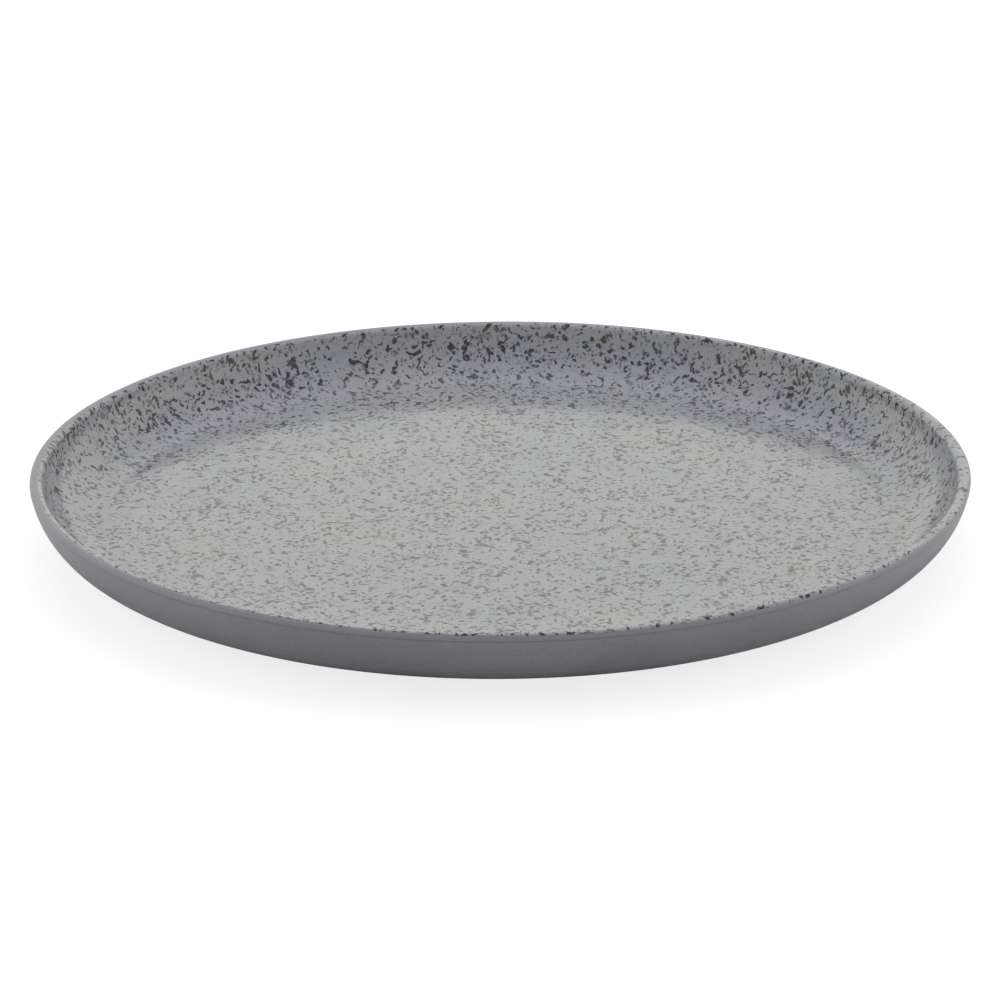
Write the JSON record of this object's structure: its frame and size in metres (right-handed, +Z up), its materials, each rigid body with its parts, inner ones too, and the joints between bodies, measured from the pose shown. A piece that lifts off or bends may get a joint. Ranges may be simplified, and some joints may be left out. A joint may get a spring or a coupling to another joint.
{
  "type": "coupe dinner plate",
  "caption": "Round coupe dinner plate with a flat well, a short curved wall, a rounded lip and a low foot ring, slate glazed and speckle printed.",
  "frame": {"origin": "centre of the foot ring's resting face", "axes": "+Z up, along the plate's axis of turning; the plate is round, so X and Y differ only by the print, which sits 0.8 mm towards +X and 1.1 mm towards -Y"},
  "size_m": [0.27, 0.27, 0.0216],
  "materials": {
    "bare_clay": "unglazed fired clay, ground flat where it rests",
    "slate_glaze": "satin slate-grey glaze",
    "speckle_print": "satin pale-grey print with small brown-black flecks"
  },
  "bodies": {
    "root": {"clay_body": "bare_clay", "slate_glaze": "slate_glaze", "base_glaze": "slate_glaze", "speckle_print": "speckle_print"}
  },
  "joints": []
}
